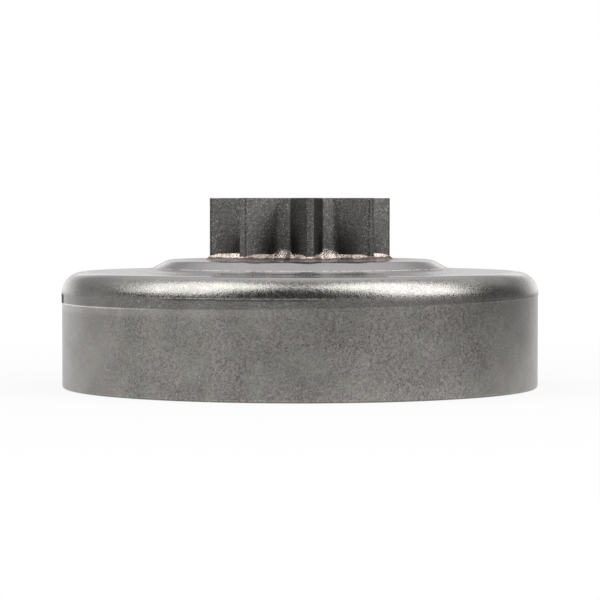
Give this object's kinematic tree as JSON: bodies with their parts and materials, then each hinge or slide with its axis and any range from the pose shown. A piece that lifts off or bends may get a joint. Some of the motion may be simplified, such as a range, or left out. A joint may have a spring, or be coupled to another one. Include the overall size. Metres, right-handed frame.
{
  "type": "clutch drum",
  "caption": "Deep-drawn steel clutch drum with a rolled shoulder, a raised boss and a sintered spur sprocket brazed on it.",
  "frame": {"origin": "on the drum's axis, in the plane of the open rim", "axes": "+Z along the axis, out through the sprocket; +X through the middle of a gullet"},
  "size_m": [0.0722, 0.0722, 0.0286],
  "materials": {
    "drum_steel": "turned satin on the wall, oily mottled press finish on the shoulder and web",
    "sintered_steel": "fine sandy grain with small bright sparkles",
    "copper_braze": "once-molten copper, bright on its crests and brown at its edges"
  },
  "bodies": {
    "root": {"drum_cup": "drum_steel", "spur_sprocket": "sintered_steel", "braze_fillet": "copper_braze", "inner_braze_ring": "copper_braze"}
  },
  "joints": []
}
